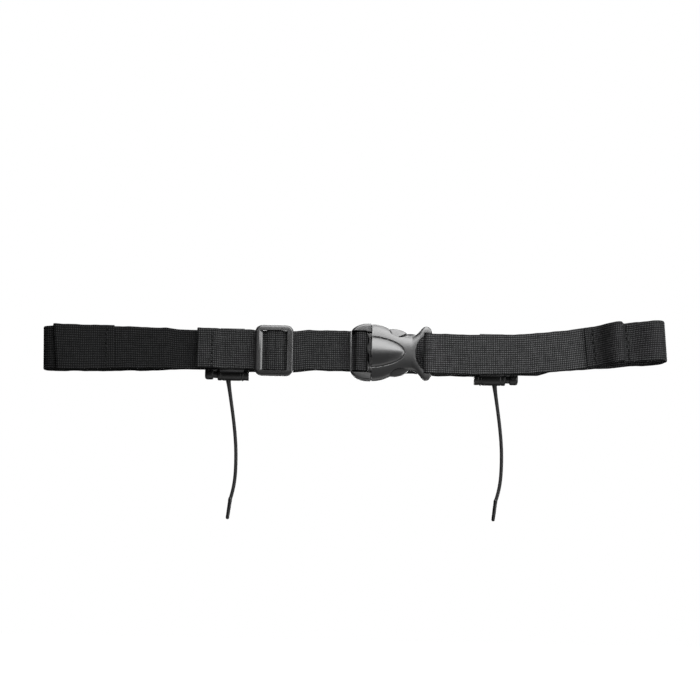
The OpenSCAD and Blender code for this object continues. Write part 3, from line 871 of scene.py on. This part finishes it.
def build_plug():
    """The plug: a frame with a bar for the webbing, and a tongue that guides it into the socket."""
    seam = SOCKET_X[0] - 0.04
    corner = bezier((PLUG_X, 10.0), (PLUG_X, 14.6), (1.6, 17.9), (8.4, 18.0), 18)
    outline = [(14.0, -18.0), (14.0, 18.0)]
    outline += [tuple(p) for p in corner[::-1]] + [(p[0], -p[1]) for p in corner]
    body = plate("plug_frame", outline, MID_Y - 3.9, MID_Y + 3.5, 1.5, BUCKLE, 6)
    core = plate("core", rounded(6, seam, -17.6, 17.6, 0.3), MID_Y - 1.4, MID_Y + 1.6, 0.3, BUCKLE, 2)
    for shape, end in ((body, seam - 0.8), (core, seam + 1)):
        cut(shape, rounded(end, 30, -30, 30, 0.2), MID_Y - 9, MID_Y + 9, 0.02)
        cut(shape, rounded(PLUG_X + 0.9, 8.4, -12.8, 13.45, 1.6), MID_Y - 9, MID_Y + 9)
        cut(shape, rounded(8.0, seam + 2, -12.9, 12.9, 0.4), MID_Y - 9, MID_Y + 1)
    cut(body, rounded(PLUG_X - 2, PLUG_X + 1.6, -12.9, 12.9, 0.3), MID_Y - 2.1, MID_Y + 6, 0.1)
    bar = tube("bar", [(PLUG_BAR[0], MID_Y, -13.6), (PLUG_BAR[0], MID_Y, 14.4)], 1.5, BUCKLE, 24, 3)
    tongue = plate("tongue", rounded(9.9, 27.9, -2.2, 2.2, 1.4), MID_Y - 1.4, MID_Y + 1.4, 0.4, BUCKLE, 3)
    strip = soft_box("strip", (PLUG_X + 0.05, MID_Y - 4.1, -12.6), (PLUG_X + 0.95, MID_Y - 2.2, 13.0), 0.25,
                     BUCKLE)
    rib = soft_box("rib", (9.3, MID_Y - 1.9, -12.95), (9.75, MID_Y + 1.5, 12.95), 0.12, BUCKLE)
    o = join("buckle_plug_frame", [body, core, bar, tongue, strip, rib])
    smooth_by_angle(o, 35)
    attach(o, "buckle_plug", "left_half")


def build_prong(name, side):
    """A prong: its arm, the pad that the fingers press, and the round root that it turns on."""
    arm = 1.15  # the arm's half height
    z = 10.6  # and its middle
    outline = [(PRONG_X, z - arm), (27, z - arm - 0.4), (27, z + 1.6), (21.4, z + 1.4), (PRONG_X, z + arm)]
    parts = [plate(name, flipped(outline, side), MID_Y - 1.8, MID_Y + 2.3, 0.4, BUCKLE, 4)]

    corner = bezier((34.6, 8.6), (34.4, 11.8), (31.0, 14.4), (25.4, 15.0), 14)
    outline = [(24, 8.2), (33.6, 6.9)] + [tuple(p) for p in corner] + [(21.8, 14.9), (21.4, 14.4)]
    pad = plate("pad", flipped(outline, side), MID_Y - 2.8, MID_Y + 2.8, 1.0, BUCKLE, 6)
    for v in pad.data.vertices:
        slope = min(max((abs(v.co.z) / MM - 7.5) / 7.5, 0), 1)  # it thins towards its outer edge
        v.co.y = MID_Y * MM + (v.co.y - MID_Y * MM) * (1 - 0.5 * slope)
    if side > 0:
        notch = [(27.5, 8.9), (28.5, 8.9), (34.8, 12.0), (34.3, 13.2), (27.2, 10.1)]
        cut(pad, notch, MID_Y - 9, MID_Y + 9)
    parts.append(pad)

    root = [(PRONG_X + 1.6 * math.cos(w), side * z + 1.6 * math.sin(w))
            for w in np.linspace(0, 2 * math.pi, 32, endpoint=False)]
    parts.append(plate("root", root, MID_Y - 1.2, MID_Y + 2.5, 0.2, BUCKLE, 2))
    o = join(name, parts)
    smooth_by_angle(o, 35)
    return o


def build_prongs():
    """The two prongs of the plug, which bend on their own."""
    for which, side in (("upper", 1), ("lower", -1)):
        attach(build_prong("buckle_prong_" + which, side), "prong_" + which, "prong_" + which)


# ---------- tri-glide ----------


def build_tri_glide():
    """The tri-glide: a frame, a ramp along its left rail and the bar that the strap climbs over."""
    x0, x1 = GLIDE_X
    half_h = box_mm("tri_glide")[1][2]
    front = -18.8  # its front face
    body = plate("glide", rounded(x0, x1, -half_h, half_h, 4.6, 12), front, -14.6, 1.5, ADJUSTER, 6)
    cut(body, rounded(x0 + 2.7, x1 - 3.9, -12.65, 12.65, 0.6), front - 4, 0)
    cut(body, rounded(x0 - 1, x1 + 1, -12.9, 12.9, 0.3), FRONT_Y - WEB_T / 2 - 0.2, -8)
    section = [(x0 + 2.5, front + 0.35), (x0 + 4.75, front + 1.6), (x0 + 4.75, -16.5), (x0 + 2.5, -16.5)]
    vertices = [(x, y, z) for z in (-12.95, 12.95) for x, y in section]
    faces = [(0, 1, 2, 3), (7, 6, 5, 4), (0, 4, 5, 1), (1, 5, 6, 2), (2, 6, 7, 3), (3, 7, 4, 0)]
    ramp = mesh_object("ramp", vertices, faces, ADJUSTER, smooth=False)
    add_bevel(ramp, 0.12, 2)
    bar = plate("bar", rounded(x0 + 10.7, x0 + 14.7, -13.4, 13.4, 0.4), -16.2, -13.8, 0.7, ADJUSTER, 4)
    o = join("tri_glide_frame", [body, ramp, bar])
    smooth_by_angle(o, 35)
    add_bevel(o, 0.3, 3, 50)
    attach(o, "tri_glide", "tri_glide")


# ---------- toggles ----------

AXIS_Y = -6.25  # the barrels' axis
AXIS_Z = -13.9
EXIT_Z = -17.8  # where the cords leave the barrels
TIP_TURN = math.radians(-7)
TOGGLE_X = {"left": -78.9, "right": 88.3}
CLIP_ROOM = {"left": 1.2, "right": 0.75}  # above and below the webbing, more where the belt is wider
BARREL = [(-6.7, 3.05), (-6.7, 3.9), (-6.35, 4.3), (-5.6, 4.4), (-4.6, 4.4), (-4.3, 4.2), (-3.7, 4.2),
          (-3.4, 4.4), (7.6, 4.4), (8.0, 4.15), (8.5, 4.15), (8.7, 4.75), (10.0, 4.0), (10.3, 4.2),
          (12.6, 4.2), (13.0, 3.9)]
BUTTON = [(-14.6, 2.2), (-14.55, 2.9), (-14.2, 3.45), (-13.6, 3.8), (-12.9, 3.9), (-10.3, 3.9),
          (-9.7, 3.75), (-9.3, 3.4), (-9.3, 2.9), (4.2, 2.9), (4.5, 2.6)]


def mirror_x(o, x):
    """Turn an object over, left to right, about x."""
    o.data.transform(Matrix.Translation((x * MM, 0, 0)) @ Matrix.Scale(-1, 4, (1, 0, 0))
                     @ Matrix.Translation((-x * MM, 0, 0)))
    o.data.flip_normals()


def toggle_shell(name, x, room):
    """Barrel with its rims, and the clip that holds the rear layer of webbing."""
    centre = np.array([x, AXIS_Y, AXIS_Z])
    barrel = lathe("barrel", BARREL, centre, TOGGLE)
    apply_modifiers(barrel)
    boolean(barrel, lathe("cut", [(-8, 3.0), (10.8, 3.0)], centre, TOGGLE))
    cord_hole = [(-12, 1.9), (-4.6, 1.7), (-3.4, 1.25), (12, 1.25)]
    boolean(barrel, lathe("cut", cord_hole, centre, TOGGLE, axis="z", sides=40))
    rear = BASE_Y + WEB_T / 2 + 0.25
    front = BASE_Y - WEB_T / 2 - 0.25
    top = WEB_W / 2 + room
    x0, x1 = x - 5, x + 10
    parts = [barrel, soft_box("plate", (x0, rear, -top), (x1, rear + 1.75, top), 0.3, TOGGLE)]
    for side in (-1, 1):
        for part, depth, back in (("hook", 0.5, rear + 0.5), ("lip", 5, front)):
            z0, z1 = sorted((side * top, side * (top - depth)))
            parts.append(soft_box(part, (x0, front - 1.0, z0), (x1, back, z1), 0.25, TOGGLE))
    o = join(name, parts)
    smooth_by_angle(o, 35)
    return o


def toggle_button(name, x):
    """The plunger that slides in the barrel, with its round end and the slot that the cord goes through."""
    o = lathe(name, BUTTON, np.array([x, AXIS_Y, AXIS_Z]), TOGGLE)
    apply_modifiers(o)
    slot = plate("cut", rounded(-1.45, 1.25, -1.25, 1.25, 1.2), -6, 6, 0.02, TOGGLE, 1)
    slot.data.transform(Matrix.Rotation(-math.pi / 2, 4, "X"))
    slot.data.transform(Matrix.Translation(((x - 1.35) * MM, AXIS_Y * MM, AXIS_Z * MM)))
    boolean(o, slot)
    smooth_by_angle(o, 35)
    return o


def coil(name, x):
    """The spring behind the plunger."""
    t = np.linspace(0, 1, 120)
    w = 4 * t * 2 * math.pi
    points = np.stack([x + 4.95 + 5.3 * t, AXIS_Y + 2.1 * np.cos(w), AXIS_Z + 2.1 * np.sin(w)], 1)
    return tube(name, points, 0.32, STEEL, 8, 0.35)


def knot(name, x):
    """Straight cord through the lock, with an overhand knot on top."""
    straight = np.stack([np.full(12, float(x)), np.full(12, AXIS_Y), np.linspace(EXIT_Z, 0.2, 12)], 1)
    stem = tube("stem", straight, 1.0, CORD, 14, 0.8)
    t = np.linspace(0, 2 * math.pi, 60)
    loop = np.stack([x + 0.62 * (np.sin(t) + 1.3 * np.sin(2 * t)) * 0.8,
                     AXIS_Y + 0.62 * (np.cos(t) - 1.3 * np.cos(2 * t)) * 0.8,
                     1.5 - 0.85 * np.sin(3 * t)], 1)
    ball = tube("ball", loop, 0.82, CORD, 12, 0.4)
    o = join(name, [stem, ball])
    smooth_by_angle(o, 60)
    return o


def cord_path(turn, length):
    """The cord's hanging line, turned a little about its exit from the lock."""
    upper = bezier((0, 0), (1.7, -14), (5.0, -32), (4.9, -48), 24)
    lower = bezier((4.9, -48), (4.85, -60), (4.2, -66), (1.4, -75), 24)
    c, s = math.cos(turn), math.sin(turn)
    return path(upper, lower) * (1, length) @ np.array([[c, s], [-s, c]])


def build_toggle(side):
    """A cord lock with its spring, and the cord that hangs from it; the right one is turned over."""
    x = TOGGLE_X[side]
    shell = toggle_shell("toggle_barrel_" + side, x, CLIP_ROOM[side])
    button = toggle_button("toggle_button_" + side, x)
    spring = coil("toggle_coil_" + side, x)
    if side == "right":
        for o in (shell, button, spring):
            mirror_x(o, x)
    attach(shell, "toggle_body_" + side, "toggle_" + side)
    attach(button, "toggle_plunger_" + side, "button_" + side)
    attach(spring, "toggle_spring_" + side, "toggle_" + side)
    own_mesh(spring)
    attach(knot("cord_knot_" + side, x), "cord_run_" + side, "cord_feed_" + side)

    turn, length = {"left": (0.024, 1.0), "right": (0.0, 0.975)}[side]
    flat = cord_path(turn, length)
    line = np.stack([x + flat[:, 0], np.full(len(flat), AXIS_Y), EXIT_Z + flat[:, 1]], 1)
    hang = tube("cord_hanging_" + side, line, lambda t: 1.1 + 0.5 * np.exp(-t / 0.06), CORD, 20, 0.6)
    attach(hang, "cord_" + side,
           blend=("cord_feed_" + side, "cord_" + side, (x, AXIS_Y, EXIT_Z), (x, AXIS_Y, EXIT_Z - 9)))

    down = np.array([math.sin(TIP_TURN), 0, -math.cos(TIP_TURN)])
    points = [line[-1] + down * s for s in np.linspace(-0.4, 11.4, 16)]
    tip = tube("cord_aglet_" + side, points, lambda t: 1.22 - 0.1 * t + 0.05 * (t < 0.1), TIP, 20, 0.6)
    attach(tip, "cord_tip_" + side, "cord_" + side)


build_webbing()
build_stitching()
build_socket()
build_plug()
build_prongs()
build_tri_glide()
build_toggle("left")
build_toggle("right")

# ---------- studio ----------


def area_light(name, location, target, size, size_y, energy):
    """A soft light of size by size_y metres, turned to its target."""
    light = bpy.data.lights.new(name, "AREA")
    light.shape = "RECTANGLE"
    light.size = size
    light.size_y = size_y
    light.energy = energy
    o = linked(name, light)
    o.location = location
    o.visible_camera = False
    o.rotation_euler = (Vector(target) - Vector(location)).to_track_quat("-Z", "Y").to_euler()


def build_world():
    """White for the camera, and only a faint fill for everything else."""
    world = bpy.data.worlds.new("studio")
    bpy.context.scene.world = world
    world.use_nodes = True
    nodes, links = world.node_tree.nodes, world.node_tree.links
    nodes.clear()
    seen = nodes.new("ShaderNodeBackground")
    seen.inputs[0].default_value = (1, 1, 1, 1)
    fill = nodes.new("ShaderNodeBackground")
    fill.inputs[0].default_value = (1, 1, 1, 1)
    fill.inputs[1].default_value = 0.08
    rays = nodes.new("ShaderNodeLightPath")
    mix = nodes.new("ShaderNodeMixShader")
    links.new(rays.outputs["Is Camera Ray"], mix.inputs[0])
    links.new(fill.outputs[0], mix.inputs[1])
    links.new(seen.outputs[0], mix.inputs[2])
    out = nodes.new("ShaderNodeOutputWorld")
    links.new(mix.outputs[0], out.inputs[0])


def build_floor():
    """A pale floor that the camera sees as bright as the world; to other rays it is dark."""
    mesh = bpy.data.meshes.new("floor")
    size, z = 20.0, -0.45  # metres; low enough for the camera to look up at the belt
    corners = [(-size, -size, z), (size, -size, z), (size, size, z), (-size, size, z)]
    mesh.from_pydata(corners, [], [(0, 1, 2, 3)])
    m, nodes, links, shader = new_material("floor_paint")
    where = nodes.new("ShaderNodeTexCoord").outputs["Object"]
    cloud = noise(nodes, links, where, 2.0)
    pale = mix_colour(nodes, links, cloud, (0.86, 0.86, 0.86), (0.9, 0.9, 0.9))
    rays = nodes.new("ShaderNodeLightPath")
    links.new(mix_colour(nodes, links, rays.outputs["Is Camera Ray"], (0.03, 0.03, 0.03), pale),
              shader.inputs["Base Color"])
    shader.inputs["Roughness"].default_value = 0.9
    shader.inputs["Emission Color"].default_value = (1, 1, 1, 1)
    links.new(rays.outputs["Is Camera Ray"], shader.inputs["Emission Strength"])
    mesh.materials.append(m)
    linked("floor", mesh)


def build_camera():
    """The photograph's view: from the front, a little below the belt, and rolled slightly."""
    elevation, roll = math.radians(-7.5), math.radians(1.1)
    distance, width = 1.25, 0.4375  # the picture is this wide at the belt, in metres
    target = Vector((-0.0028, MID_Y * MM, 0.0014))
    data = bpy.data.cameras.new("camera")
    data.sensor_width = 36
    data.lens = 36 * distance / width
    data.clip_end = 50
    camera = linked("camera", data)
    back = Vector((0, -math.cos(elevation), math.sin(elevation)))
    camera.location = target + back * distance
    camera.rotation_mode = "QUATERNION"
    turn = Matrix.Rotation(roll, 3, "Z").to_quaternion()
    camera.rotation_quaternion = (-back).to_track_quat("-Z", "Y") @ turn
    bpy.context.scene.camera = camera


build_world()
build_floor()
area_light("top", (0.3, -1.05, 0.9), (0, 0, 0), 1.5, 1.1, 50)
area_light("above", (0.1, -0.1, 1.3), (0, 0, 0), 1.2, 0.9, 18)
area_light("right", (0.9, -0.5, 0.05), (-0.05, 0, 0), 0.3, 1.2, 11)
area_light("behind", (0.3, 1.3, 0.5), (0, 0, 0), 1.4, 1.4, 40)
area_light("below", (0, -0.12, -0.41), (0, 0, 0), 0.8, 0.3, 1.0)
build_camera()
bpy.context.scene.view_settings.view_transform = "Standard"
